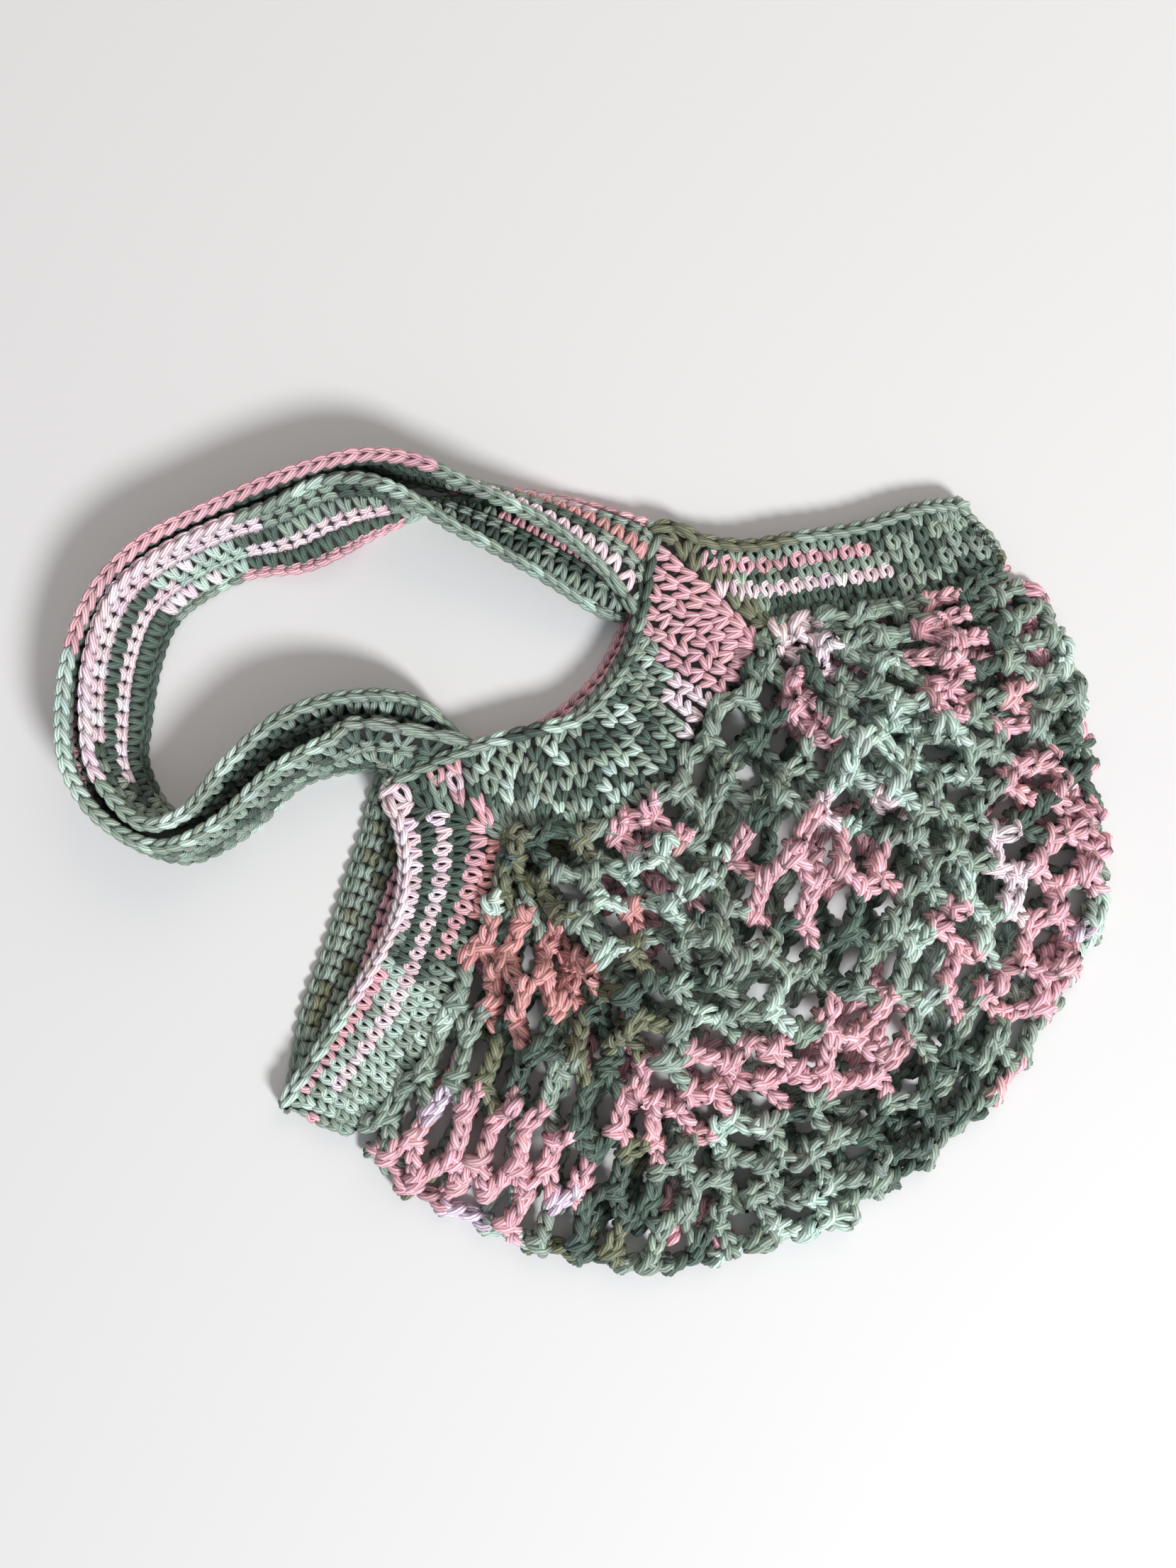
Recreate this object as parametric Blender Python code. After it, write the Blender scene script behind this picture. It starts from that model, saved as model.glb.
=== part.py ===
import math

import bmesh
import bpy
from mathutils import Vector
from mathutils.geometry import delaunay_2d_cdt

# Driving sizes, in metres. +X runs along the bag's length, +Y towards the right-hand strap end,
# +Z up from the surface that it lies on. Table columns in x and y are shares of LENGTH, and
# columns of height are shares of PILE.
LENGTH = 0.451
PILE = 0.030
FABRIC = 0.0042
STRAND = 0.0040
STRAND_WIDTH = 0.0052
STRAP_WIDTH = 0.0285
STRAP_CURL = 0.0015
SEAM_GAP = 0.0008
CORNER_GAP = 0.0040
STRAP_GAP = 0.0006
STRAP_LEAD = 0.0030
FLOOR_GAP = 0.0002
NET_COLUMNS = 11
NET_ROW = 0.0240
NET_HEAD = 0.0085
NET_MARGIN = 0.0070
FOLD_SIZE = 0.0030
RIM = 0.25
VALLEY = 0.42
DOME = 0.20

# Front layer of the band, from the left fold round to the right fold: its mouth edge, its net
# edge, and the height of each. Straps leave the mouth edge between the rows marked join.
BAND_FRONT = [
    # mouth_x, mouth_y, mouth_h, net_x, net_y, net_h
    (-0.281, -0.298, 0.25, -0.222, -0.325, 0.25),
    (-0.243, -0.243, 0.30, -0.187, -0.292, 0.40),
    (-0.199, -0.174, 0.40, -0.145, -0.235, 0.50),
    (-0.173, -0.119, 0.47, -0.118, -0.162, 0.57),
    (-0.167, -0.072, 0.47, -0.092, -0.113, 0.60),
    (-0.174, -0.033, 0.43, -0.078, -0.065, 0.63),
    (-0.182, -0.004, 0.40, -0.070, -0.041, 0.63),  # join
    (-0.109, 0.030, 0.43, -0.026, -0.036, 0.63),  # join
    (-0.050, 0.046, 0.47, 0.013, -0.034, 0.63),
    (-0.007, 0.058, 0.47, 0.046, -0.019, 0.63),
    (0.024, 0.089, 0.43, 0.076, 0.009, 0.63),
    (0.043, 0.124, 0.40, 0.105, 0.063, 0.63),
    (0.054, 0.163, 0.37, 0.140, 0.099, 0.60),  # join
    (0.069, 0.237, 0.33, 0.157, 0.134, 0.57),  # join
    (0.107, 0.225, 0.33, 0.171, 0.147, 0.53),
    (0.151, 0.220, 0.33, 0.192, 0.153, 0.50),
    (0.196, 0.228, 0.32, 0.222, 0.158, 0.47),
    (0.257, 0.238, 0.30, 0.270, 0.166, 0.40),
    (0.311, 0.256, 0.27, 0.328, 0.176, 0.33),
    (0.350, 0.261, 0.25, 0.388, 0.208, 0.25),
]
FRONT_JOINS = {"left": 6, "right": 12}

# Back layer, flat on the surface, between the same two folds.
BAND_BACK = [
    # mouth_x, mouth_y, net_x, net_y
    (-0.266, -0.220, -0.191, -0.257),
    (-0.244, -0.159, -0.164, -0.200),
    (-0.225, -0.098, -0.142, -0.139),
    (-0.208, -0.048, -0.118, -0.094),
    (-0.193, -0.004, -0.095, -0.054),  # join
    (-0.118, 0.029, -0.044, -0.040),  # join
    (-0.061, 0.043, 0.000, -0.037),
    (-0.020, 0.067, 0.038, -0.015),
    (0.011, 0.096, 0.068, 0.014),
    (0.030, 0.127, 0.099, 0.062),
    (0.042, 0.159, 0.129, 0.096),  # join
    (0.065, 0.232, 0.150, 0.123),  # join
    (0.106, 0.223, 0.170, 0.140),
    (0.150, 0.220, 0.194, 0.147),
    (0.196, 0.228, 0.228, 0.153),
    (0.255, 0.237, 0.279, 0.163),
    (0.313, 0.255, 0.334, 0.177),
]
BACK_JOINS = {"left": 5, "right": 11}

# Straps, from the right join round the loop to the left join: the chain edge, the tilt of the
# strap about that edge (0 flat with its face up, 90 on edge), and the lift of the low edge.
STRAP_FRONT = [
    # edge_x, edge_y, tilt, lift
    (0.017, 0.198, 27, 0.24),
    (-0.026, 0.230, 53, 0.14),
    (-0.071, 0.254, 68, 0.06),
    (-0.117, 0.275, 84, 0.00),
    (-0.160, 0.293, 92, 0.00),
    (-0.211, 0.296, 96, 0.00),
    (-0.275, 0.278, 97, 0.00),
    (-0.339, 0.250, 97, 0.00),
    (-0.400, 0.219, 96, 0.00),
    (-0.444, 0.175, 94, 0.00),
    (-0.468, 0.116, 92, 0.00),
    (-0.475, 0.055, 88, 0.00),
    (-0.468, 0.009, 84, 0.00),
    (-0.438, -0.033, 80, 0.00),
    (-0.388, -0.057, 78, 0.00),
    (-0.336, -0.036, 80, 0.00),
    (-0.284, 0.011, 80, 0.00),
    (-0.232, 0.039, 68, 0.10),
    (-0.204, 0.053, 48, 0.20),
]
STRAP_BACK = [
    # edge_x, edge_y, tilt, lift
    (0.011, 0.166, 16, 0.00),
    (-0.038, 0.194, 34, 0.00),
    (-0.084, 0.219, 42, 0.00),
    (-0.120, 0.236, 54, 0.00),
    (-0.151, 0.253, 75, 0.00),
    (-0.179, 0.267, 105, 0.00),
    (-0.210, 0.276, 128, 0.08),
    (-0.249, 0.273, 146, 0.20),
    (-0.291, 0.252, 138, 0.10),
    (-0.338, 0.233, 120, 0.00),
    (-0.391, 0.207, 120, 0.00),
    (-0.432, 0.172, 124, 0.00),
    (-0.453, 0.114, 124, 0.00),
    (-0.454, 0.054, 116, 0.00),
    (-0.443, 0.008, 106, 0.00),
    (-0.405, -0.034, 96, 0.00),
    (-0.364, -0.026, 88, 0.00),
    (-0.325, 0.019, 80, 0.00),
    (-0.276, 0.060, 72, 0.00),
    (-0.217, 0.078, 55, 0.00),
    (-0.160, 0.074, 32, 0.00),
]

# The fold outline of the net, a row for each twentieth of the way along the band's net edge.
OUTLINE = [
    # x, y
    (-0.222, -0.328),
    (-0.172, -0.388),
    (-0.104, -0.423),
    (-0.027, -0.450),
    (0.041, -0.461),
    (0.105, -0.460),
    (0.156, -0.448),
    (0.203, -0.433),
    (0.250, -0.409),
    (0.299, -0.381),
    (0.348, -0.340),
    (0.395, -0.298),
    (0.429, -0.240),
    (0.456, -0.199),
    (0.480, -0.155),
    (0.493, -0.090),
    (0.487, -0.030),
    (0.480, 0.031),
    (0.463, 0.095),
    (0.435, 0.167),
    (0.392, 0.208),
]

# Gathers of the front layer: where the crest starts along the band, how far it drifts along
# by its end, its half width along the band, its height, and its reach as a share of the net.
GATHERS = [
    # start, drift, half_width, height, reach
    (0.115, 0.00, 0.050, 0.30, 0.80),
    (0.215, 0.01, 0.052, 0.52, 0.75),
    (0.330, 0.02, 0.055, 0.66, 0.72),
    (0.445, 0.01, 0.056, 0.72, 0.80),
    (0.560, 0.00, 0.056, 0.74, 0.78),
    (0.670, -0.01, 0.054, 0.66, 0.75),
    (0.775, -0.01, 0.050, 0.58, 0.78),
    (0.875, 0.00, 0.048, 0.40, 0.80),
]


def mix(a, b, t):
    return a + (b - a) * t


def smooth(t):
    t = min(max(t, 0.0), 1.0)
    return t * t * (3.0 - 2.0 * t)


def along(rows, t):
    """The point at t, counted in rows, on a smooth curve through the rows."""
    last = len(rows) - 1
    t = min(max(t, 0.0), float(last))
    i = min(int(t), last - 1)
    f = t - i
    a, b = rows[i], rows[i + 1]
    before = rows[i - 1] if i > 0 else 2 * a - b
    after = rows[i + 2] if i + 2 <= last else 2 * b - a
    return (
        a
        + (b - before) * (0.5 * f)
        + (2 * before - 5 * a + 4 * b - after) * (0.5 * f * f)
        + (3 * a - before - 3 * b + after) * (0.5 * f * f * f)
    )


def place(x, y, height):
    return Vector((x * LENGTH, y * LENGTH, height * PILE))


def layer_rows():
    """Mouth edge and net edge of the front and back layers, left fold to right fold."""
    low = (FLOOR_GAP + FABRIC / 2) / PILE
    first, last = BAND_FRONT[0], BAND_FRONT[-1]
    back = [(first[0], first[1], first[3], first[4])]
    back += BAND_BACK
    back += [(last[0], last[1], last[3], last[4])]
    return {
        "front": (
            [place(x, y, h) for x, y, h, _, _, _ in BAND_FRONT],
            [place(x, y, h) for _, _, _, x, y, h in BAND_FRONT],
        ),
        "back": (
            [place(x, y, low) for x, y, _, _ in back],
            [place(x, y, low) for _, _, x, y in back],
        ),
    }


LAYERS = layer_rows()
OUTLINE_ROWS = [place(x, y, RIM) for x, y in OUTLINE]


def half_steps(rows):
    """The rows with one smooth point added in each interval."""
    return [along(rows, i / 2) for i in range(2 * len(rows) - 1)]


def show(name, mesh_data, colour):
    """Links an object for a bmesh, with a material of its own."""
    mesh = bpy.data.meshes.new(name)
    mesh_data.to_mesh(mesh)
    mesh_data.free()
    obj = bpy.data.objects.new(name, mesh)
    bpy.context.scene.collection.objects.link(obj)
    material = bpy.data.materials.new(name)
    material.use_nodes = True
    shader = material.node_tree.nodes["Principled BSDF"]
    shader.inputs["Base Color"].default_value = (*colour, 1.0)
    shader.inputs["Roughness"].default_value = 0.9
    mesh.materials.append(material)
    return obj


def thicken(obj, thickness):
    solid = obj.modifiers.new("thickness", "SOLIDIFY")
    solid.thickness = thickness
    solid.offset = 0.0
    solid.use_rim = True


def grid_surface(rows, closed):
    """A bmesh of quads through rows of points, closed round the rows if asked."""
    surface = bmesh.new()
    verts = [[surface.verts.new(point) for point in row] for row in rows]
    count = len(verts)
    for i in range(count if closed else count - 1):
        here, there = verts[i], verts[(i + 1) % count]
        for a in range(len(here) - 1):
            surface.faces.new((here[a], here[a + 1], there[a + 1], there[a]))
    bmesh.ops.recalc_face_normals(surface, faces=surface.faces)
    return surface


def fold_row(front_mouth, front_net, back_mouth, back_net):
    """The row half way round a fold of the band, pushed out to round the fold."""
    mouth = (front_mouth + back_mouth) / 2
    net = (front_net + back_net) / 2
    across = net - mouth
    out = Vector((across.y, -across.x, 0.0)).normalized()
    rise = (front_mouth.z - back_mouth.z) / 2
    if out.dot(mouth - place(0.0, 0.0, 0.0)) < 0:
        out.negate()
    return mouth + out * rise, net + out * rise


def band_rows():
    """Mouth and net points round the whole band, front layer first, then the back."""
    front_mouth, front_net = (half_steps(rows) for rows in LAYERS["front"])
    back_mouth, back_net = (half_steps(rows) for rows in LAYERS["back"])
    ring = list(zip(front_mouth, front_net))
    ring.append(fold_row(front_mouth[-1], front_net[-1], back_mouth[-1], back_net[-1]))
    ring += list(zip(back_mouth, back_net))[::-1]
    ring.append(fold_row(front_mouth[0], front_net[0], back_mouth[0], back_net[0]))
    return ring


def build_band():
    rows = []
    for mouth, net in band_rows():
        rows.append([mouth.lerp(net, step / 3) for step in range(4)])
    band = show("mouth_band", grid_surface(rows, True), (0.30, 0.38, 0.34))
    thicken(band, FABRIC)
    return band


def join_section(layer, row, shares):
    """Points across a strap's end, on the band's mouth edge from row + 1 back to row."""
    mouth, net = LAYERS[layer]
    stops = [along(mouth, row + 1 - i / 2) for i in range(3)]
    edge = (mouth[row + 1] - mouth[row]).normalized()
    out = mouth[row] + mouth[row + 1] - net[row] - net[row + 1]
    out = (out - edge * out.dot(edge)).normalized()
    points = []
    for share in shares:
        i = min(int(share * 2), 1)
        points.append(stops[i].lerp(stops[i + 1], share * 2 - i) + out * STRAP_GAP)
    return points


def lead_section(layer, row, section):
    """A section just off the band that carries on the band's slope."""
    mouth, net = LAYERS[layer]
    slope = (mouth[row] + mouth[row + 1] - net[row] - net[row + 1]).normalized()
    edge = (section[-1] - section[0]).normalized()
    slope = (slope - edge * slope.dot(edge)).normalized()
    return [point + slope * STRAP_LEAD for point in section]


def build_strap(name, layer, table, joins, colour):
    edge = [place(x, y, 0.0) for x, y, _, _ in table]
    shares = [i / 4 for i in range(5)]
    sections = [join_section(layer, joins["right"], shares)[::-1]]
    for i, (_, _, tilt, lift) in enumerate(table):
        ahead = along(edge, i + 0.25) - along(edge, i - 0.25)
        if i == 0:
            ahead = edge[1] - edge[0]
        elif i == len(edge) - 1:
            ahead = edge[-1] - edge[-2]
        inward = Vector((-ahead.y, ahead.x, 0.0)).normalized()
        angle = math.radians(tilt)
        rise = inward * math.cos(angle) + Vector((0.0, 0.0, math.sin(angle)))
        face = ahead.normalized().cross(rise)
        low = FLOOR_GAP + abs(math.cos(angle)) * FABRIC / 2 + lift * PILE
        top = edge[i] + Vector((0.0, 0.0, low + STRAP_WIDTH * math.sin(angle)))
        sections.append(
            [
                top - rise * (STRAP_WIDTH * share) + face * (STRAP_CURL * math.sin(math.pi * share))
                for share in shares
            ]
        )
    sections.append(join_section(layer, joins["left"], shares))
    sections.insert(1, lead_section(layer, joins["right"], sections[0]))
    sections.insert(-1, lead_section(layer, joins["left"], sections[-1]))
    lines = list(zip(*sections))
    count = 3 * (len(sections) - 3)
    stops = [0.0] + [1.0 + i / 3 for i in range(count + 1)] + [len(sections) - 1.0]
    rows = [[along(line, stop) for line in lines] for stop in stops]
    strap = show(name, grid_surface(rows, False), colour)
    thicken(strap, FABRIC)
    return strap


def head_slope(layer, u):
    """Rise of the band towards its net edge, which the net's head carries on."""
    mouth, net = LAYERS[layer]
    t = u * (len(net) - 1)
    a, b = along(mouth, t), along(net, t)
    return (b.z - a.z) / (b - a).to_2d().length


def net_lines(layer):
    """For a share u along a layer's net edge: the point there, and the fold point below it."""
    rows = LAYERS[layer][1]

    def at(u):
        start = along(rows, u * (len(rows) - 1))
        return start, along(OUTLINE_ROWS, u * (len(OUTLINE_ROWS) - 1))

    return at


def locate(at, point):
    """The share u and the distance down the net of a point seen in plan."""
    low, high = 0.0, 1.0
    for _ in range(24):
        u = (low + high) / 2
        start, end = at(u)
        down = end - start
        if down.x * (point.y - start.y) - down.y * (point.x - start.x) > 0:
            low = u
        else:
            high = u
    start, end = at(u)
    return u, (point - start).to_2d().length, (end - start).to_2d().length


def front_height(at, point):
    """Height of the front layer's middle: valley, dome, gathers, and the fall to the rim."""
    u, down, reach = locate(at, point)
    if reach < SEAM_GAP:
        return RIM * PILE
    t = min(down / reach, 1.0)
    head = (at(u)[0].z + head_slope("front", u) * min(down, NET_HEAD)) / PILE
    level = mix(VALLEY, RIM, smooth((t - 0.45) / 0.55))
    level = mix(head, level, smooth((down - NET_HEAD) / (0.06 * LENGTH)))
    level += DOME * math.sin(math.pi * t) ** 2 * smooth(reach / (0.3 * LENGTH))
    for start, drift, half_width, height, length in GATHERS:
        side = (u - start - drift * t) / half_width
        if abs(side) < 1.0:
            rise = smooth((down - NET_HEAD) / (0.07 * LENGTH)) * (1.0 - smooth((t - 0.25) / (length - 0.25)))
            level += height * rise * math.cos(side * math.pi / 2) ** 2
    return level * PILE


def inset(corners, width):
    """The polygon with every side moved in by width."""
    count = len(corners)
    lines = []
    for i in range(count):
        a, b = corners[i], corners[(i + 1) % count]
        side = (b - a).normalized()
        lines.append((a + Vector((-side.y, side.x)) * width, side))
    moved = []
    for i in range(count):
        (a, m), (b, n) = lines[i - 1], lines[i]
        cross = m.x * n.y - m.y * n.x
        along_a = ((b.x - a.x) * n.y - (b.y - a.y) * n.x) / cross
        moved.append(a + m * along_a)
    return moved


def diamonds(at):
    """Plan corners of each gap that fits between the band and the fold, and the knots."""
    gaps = []
    for row in range(1, 12):
        for column in range(NET_COLUMNS + 1):
            centre = (column + (0.5 if row % 2 else 0.0)) / NET_COLUMNS
            if not 0.02 < centre < 0.98:
                continue
            corners = []
            for du, dd in ((0, -1), (-0.5, 0), (0, 1), (0.5, 0)):
                u = min(max(centre + du / NET_COLUMNS, 0.0), 1.0)
                start, end = at(u)
                reach = (end - start).to_2d().length
                down = NET_HEAD + (row + dd) * NET_ROW
                limit = reach - NET_MARGIN + STRAND_WIDTH / 2
                down = min(down, limit)
                if reach < NET_HEAD:
                    break
                corners.append((start + (end - start) * (down / reach)).to_2d())
            if len(corners) < 4:
                continue
            height = (corners[2] - corners[0]).length
            width = (corners[3] - corners[1]).length
            if min(height, width) < 2.7 * STRAND_WIDTH:
                continue
            hole = inset(corners, STRAND_WIDTH / 2)
            if (hole[2] - hole[0]).dot(corners[2] - corners[0]) <= 0:
                continue
            if (hole[3] - hole[1]).dot(corners[3] - corners[1]) <= 0:
                continue
            gaps.append(hole)
    return gaps


def sheet(layer, outline):
    """One layer of the net as a plan triangulation: its points, faces and ordered edge points."""
    at = net_lines(layer)
    rows = LAYERS[layer][1]
    count = 2 * (len(rows) - 1)
    head, second = [], []
    for i in range(1, count):
        start, end = at(i / count)
        before, after = at((i - 1) / count)[0], at((i + 1) / count)[0]
        edge = (after - before).to_2d().normalized()
        out = Vector((edge.y, -edge.x))
        gap = SEAM_GAP + (CORNER_GAP if i in (1, count - 1) else 0.0)
        head.append(start.to_2d() + out * gap)
        if 1 < i < count - 1:
            second.append(start.to_2d() + out * (SEAM_GAP + 0.6 * NET_HEAD))
    ring = head + [point.to_2d() for point in reversed(outline)]
    points = list(ring)
    edges = [(i, (i + 1) % len(ring)) for i in range(len(ring))]
    holes = []
    for hole in diamonds(at):
        first = len(points)
        for i in range(4):
            points.append(hole[i])
            points.append((hole[i] + hole[(i + 1) % 4]) / 2)
        edges += [(first + i, first + (i + 1) % 8) for i in range(8)]
        holes.append(points[first : first + 8])
    flat, _, faces, _, _, _ = delaunay_2d_cdt(points + second, edges, [], 0, 1e-7)
    return at, len(head), flat, faces, holes, len(ring)


def inside(polygon, point):
    hit = False
    for i in range(len(polygon)):
        a, b = polygon[i - 1], polygon[i]
        if (a.y > point.y) != (b.y > point.y):
            if point.x < a.x + (point.y - a.y) * (b.x - a.x) / (b.y - a.y):
                hit = not hit
    return hit


def build_net():
    net = bmesh.new()
    steps = 48
    outline = []
    for i in range(steps + 1):
        u = mix(0.022, 0.978, i / steps)
        start = net_lines("front")(u)[0]
        point = along(OUTLINE_ROWS, u * (len(OUTLINE_ROWS) - 1))
        inward = (start - point).to_2d().normalized().to_3d()
        outline.append(point + inward * FOLD_SIZE)
    low = FLOOR_GAP + STRAND / 2
    fold_points = {}
    for layer in ("front", "back"):
        at, head_count, flat, faces, holes, ring_count = sheet(layer, outline)
        ring = [flat[i] for i in range(ring_count)]
        made = []
        for point in flat:
            height = front_height(at, point.to_3d()) if layer == "front" else low
            made.append(net.verts.new((point.x, point.y, height)))
        for corners in faces:
            centre = sum((flat[i] for i in corners), Vector((0.0, 0.0))) / len(corners)
            if not inside(ring, centre) or any(inside(hole, centre) for hole in holes):
                continue
            net.faces.new([made[i] for i in corners])
        fold_points[layer] = made[head_count - 1 : ring_count] + [made[0]]
    upper, lower = fold_points["front"], fold_points["back"]
    middle = []
    for a, b in zip(upper, lower):
        middle.append(net.verts.new((a.co + b.co) / 2))
    bulges = []
    for i in range(1, len(middle) - 1):
        side = middle[i + 1].co - middle[i - 1].co
        out = Vector((-side.y, side.x, 0.0)).normalized()
        bulges.append(out * ((upper[i].co.z - lower[i].co.z) * 0.35))
    for vert, bulge in zip(middle[1:-1], bulges):
        vert.co += bulge
    for i in range(len(middle) - 1):
        net.faces.new((upper[i], upper[i + 1], middle[i + 1], middle[i]))
        net.faces.new((middle[i], middle[i + 1], lower[i + 1], lower[i]))
    bmesh.ops.recalc_face_normals(net, faces=net.faces)
    loose = [vert for vert in net.verts if not vert.link_faces]
    bmesh.ops.delete(net, geom=loose, context="VERTS")
    body = show("net_body", net, (0.32, 0.40, 0.36))
    thicken(body, STRAND)
    return body


def settle(objects):
    """Moves everything so that the box's base centre is the origin."""
    graph = bpy.context.evaluated_depsgraph_get()
    low = Vector((math.inf,) * 3)
    high = -low
    for obj in objects:
        for vert in obj.evaluated_get(graph).data.vertices:
            low = Vector(map(min, low, vert.co))
            high = Vector(map(max, high, vert.co))
    shift = Vector(((low.x + high.x) / 2, (low.y + high.y) / 2, low.z))
    for obj in objects:
        for vert in obj.data.vertices:
            vert.co -= shift


def main():
    for obj in list(bpy.data.objects):
        bpy.data.objects.remove(obj)
    objects = [
        build_band(),
        build_net(),
        build_strap("strap_front", "front", STRAP_FRONT, FRONT_JOINS, (0.55, 0.36, 0.38)),
        build_strap("strap_back", "back", STRAP_BACK, BACK_JOINS, (0.36, 0.44, 0.40)),
    ]
    settle(objects)


main()
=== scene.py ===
import math

import bpy
import numpy as np
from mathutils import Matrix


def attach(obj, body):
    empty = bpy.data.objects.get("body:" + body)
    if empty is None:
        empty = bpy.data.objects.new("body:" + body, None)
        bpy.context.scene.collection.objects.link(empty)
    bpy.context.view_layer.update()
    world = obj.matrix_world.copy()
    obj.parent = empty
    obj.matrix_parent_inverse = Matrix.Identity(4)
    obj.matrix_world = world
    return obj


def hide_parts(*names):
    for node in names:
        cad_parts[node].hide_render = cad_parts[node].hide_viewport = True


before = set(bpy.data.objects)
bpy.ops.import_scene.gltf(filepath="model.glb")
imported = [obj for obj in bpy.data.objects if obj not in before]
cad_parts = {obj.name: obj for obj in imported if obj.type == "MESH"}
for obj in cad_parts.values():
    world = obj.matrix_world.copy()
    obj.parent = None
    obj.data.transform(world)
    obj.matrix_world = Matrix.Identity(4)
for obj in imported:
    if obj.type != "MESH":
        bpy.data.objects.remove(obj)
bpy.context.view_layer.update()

# The same frame as the part: x and y in the tables are shares of bagLength, heights of pileHeight.
bagLength = 0.451
pileHeight = 0.030
boxShift = np.array((0.002699, -0.036475, -0.000296))
clothThickness = 0.0042
floorGap = 0.0002

# Camera and light

viewValues = {
    "eyeHeight": 0.492,
    "lens": 26.05,
    "sensor": 36.0,
    "nearest": 0.01,
    "floorHalf": 3.0,
    "floorColour": (0.80, 0.80, 0.80),
    "floorRoughness": 0.7,
    "skyColour": (0.96, 0.97, 1.0),
    "skyStrength": 0.35,
}

lampValues = {
    # place, size, power, colour
    "windowLamp": ((1.6, -1.7, 2.1), 0.8, 98.0, (0.98, 0.99, 1.0)),
    "roomLamp": ((0.9, 1.9, 1.6), 1.8, 14.0, (1.0, 0.82, 0.66)),
}

scene = bpy.context.scene
camera = bpy.data.objects.new("camera", bpy.data.cameras.new("camera"))
scene.collection.objects.link(camera)
camera.location = (-boxShift[0], -boxShift[1], viewValues["eyeHeight"])
camera.data.lens = viewValues["lens"]
camera.data.sensor_width = viewValues["sensor"]
camera.data.clip_start = viewValues["nearest"]
scene.camera = camera
scene.view_settings.view_transform = "Standard"


def addLamp(name, spot, size, power, colour):
    data = bpy.data.lights.new(name, "AREA")
    data.shape = "DISK"
    data.size = size
    data.energy = power
    data.color = colour
    lamp = bpy.data.objects.new(name, data)
    lamp.location = spot
    toBag = -np.array(spot)
    lamp.rotation_euler = (
        math.atan2(math.hypot(toBag[0], toBag[1]), -toBag[2]),
        0.0,
        math.atan2(-toBag[0], toBag[1]),
    )
    scene.collection.objects.link(lamp)


for lampName, values in lampValues.items():
    addLamp(lampName, *values)

world = bpy.data.worlds.new("room")
scene.world = world
world.use_nodes = True
sky = world.node_tree.nodes["Background"]
sky.inputs["Color"].default_value = (*viewValues["skyColour"], 1.0)
sky.inputs["Strength"].default_value = viewValues["skyStrength"]

# Floor

half = viewValues["floorHalf"]
floorMesh = bpy.data.meshes.new("floor")
corners = [(-half, -half, 0), (half, -half, 0), (half, half, 0), (-half, half, 0)]
floorMesh.from_pydata(corners, [], [(0, 1, 2, 3)])
floor = bpy.data.objects.new("floor", floorMesh)
scene.collection.objects.link(floor)
floorMaterial = bpy.data.materials.new("floor")
floorMaterial.use_nodes = True
floorShader = floorMaterial.node_tree.nodes["Principled BSDF"]
floorShader.inputs["Base Color"].default_value = (*viewValues["floorColour"], 1.0)
floorShader.inputs["Roughness"].default_value = viewValues["floorRoughness"]
floorMesh.materials.append(floorMaterial)
print("camera, light and floor ready")

# Yarn colours


def linear(red, green, blue):
    values = np.array((red, green, blue)) / 255.0
    return np.where(values <= 0.04045, values / 12.92, ((values + 0.055) / 1.055) ** 2.4)


yarnColours = {
    "mint": linear(190, 213, 202),
    "sage": linear(146, 163, 150),
    "moss": linear(118, 122, 98),
    "dark": linear(78, 97, 87),
    "pale": linear(246, 222, 230),
    "pink": linear(229, 178, 188),
    "salmon": linear(218, 158, 156),
    "lilac": linear(222, 204, 222),
}

dyeValues = {
    "seed": 11,
    "shadeSpread": 0.08,
    "stitchSpread": 0.10,
    "hueSpread": 0.02,
    "wander": 0.7,
    "mintAbove": 1.1,
    "sageAbove": -0.3,
    "mossAbove": -1.2,
    "mossEnd": 0.05,
}

# Slow waves of tone over the bag, in shares of its length.
netWaves = {
    # strength, acrossX, acrossY, start
    "front": ((1.0, 23, 9, 0.5), (1.0, -13, 29, 2.1), (0.8, 41, -17, 0.0)),
    "back": ((1.0, 31, 5, 1.0), (1.0, -11, 37, 0.0)),
}

draw = np.random.default_rng(dyeValues["seed"])


def tone(name, spread=dyeValues["shadeSpread"]):
    shade = 1.0 + spread * draw.normal()
    return yarnColours[name] * shade * (1.0 + dyeValues["hueSpread"] * draw.normal(size=3))


def waveSum(layer, x, y):
    return sum(strength * math.sin(a * x + b * y + start) for strength, a, b, start in netWaves[layer])


calmValues = {"alongRun": 1.7, "acrossRows": 2.3, "wander": 0.7, "sageAbove": -0.25}


def calmGreen(run, row):
    # neighbouring stitches of one length of yarn keep one tone
    value = math.sin(calmValues["alongRun"] * run + calmValues["acrossRows"] * row)
    value += calmValues["wander"] * draw.normal()
    return "sage" if value > calmValues["sageAbove"] else "dark"


def greenField(point):
    # slow wandering of the dyed yarn between its green tones
    x, y = point[0] / bagLength, point[1] / bagLength
    value = waveSum("front", x, y) + dyeValues["wander"] * draw.normal()
    if value > dyeValues["mintAbove"]:
        return "mint"
    if value > dyeValues["sageAbove"]:
        return "sage"
    if value > dyeValues["mossAbove"]:
        return "moss" if x < dyeValues["mossEnd"] else "sage"
    return "dark"


# Curves that the pieces share


def smooth(t):
    t = min(max(t, 0.0), 1.0)
    return t * t * (3.0 - 2.0 * t)


def unit(vector):
    return vector / max(np.linalg.norm(vector), 1e-12)


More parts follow.
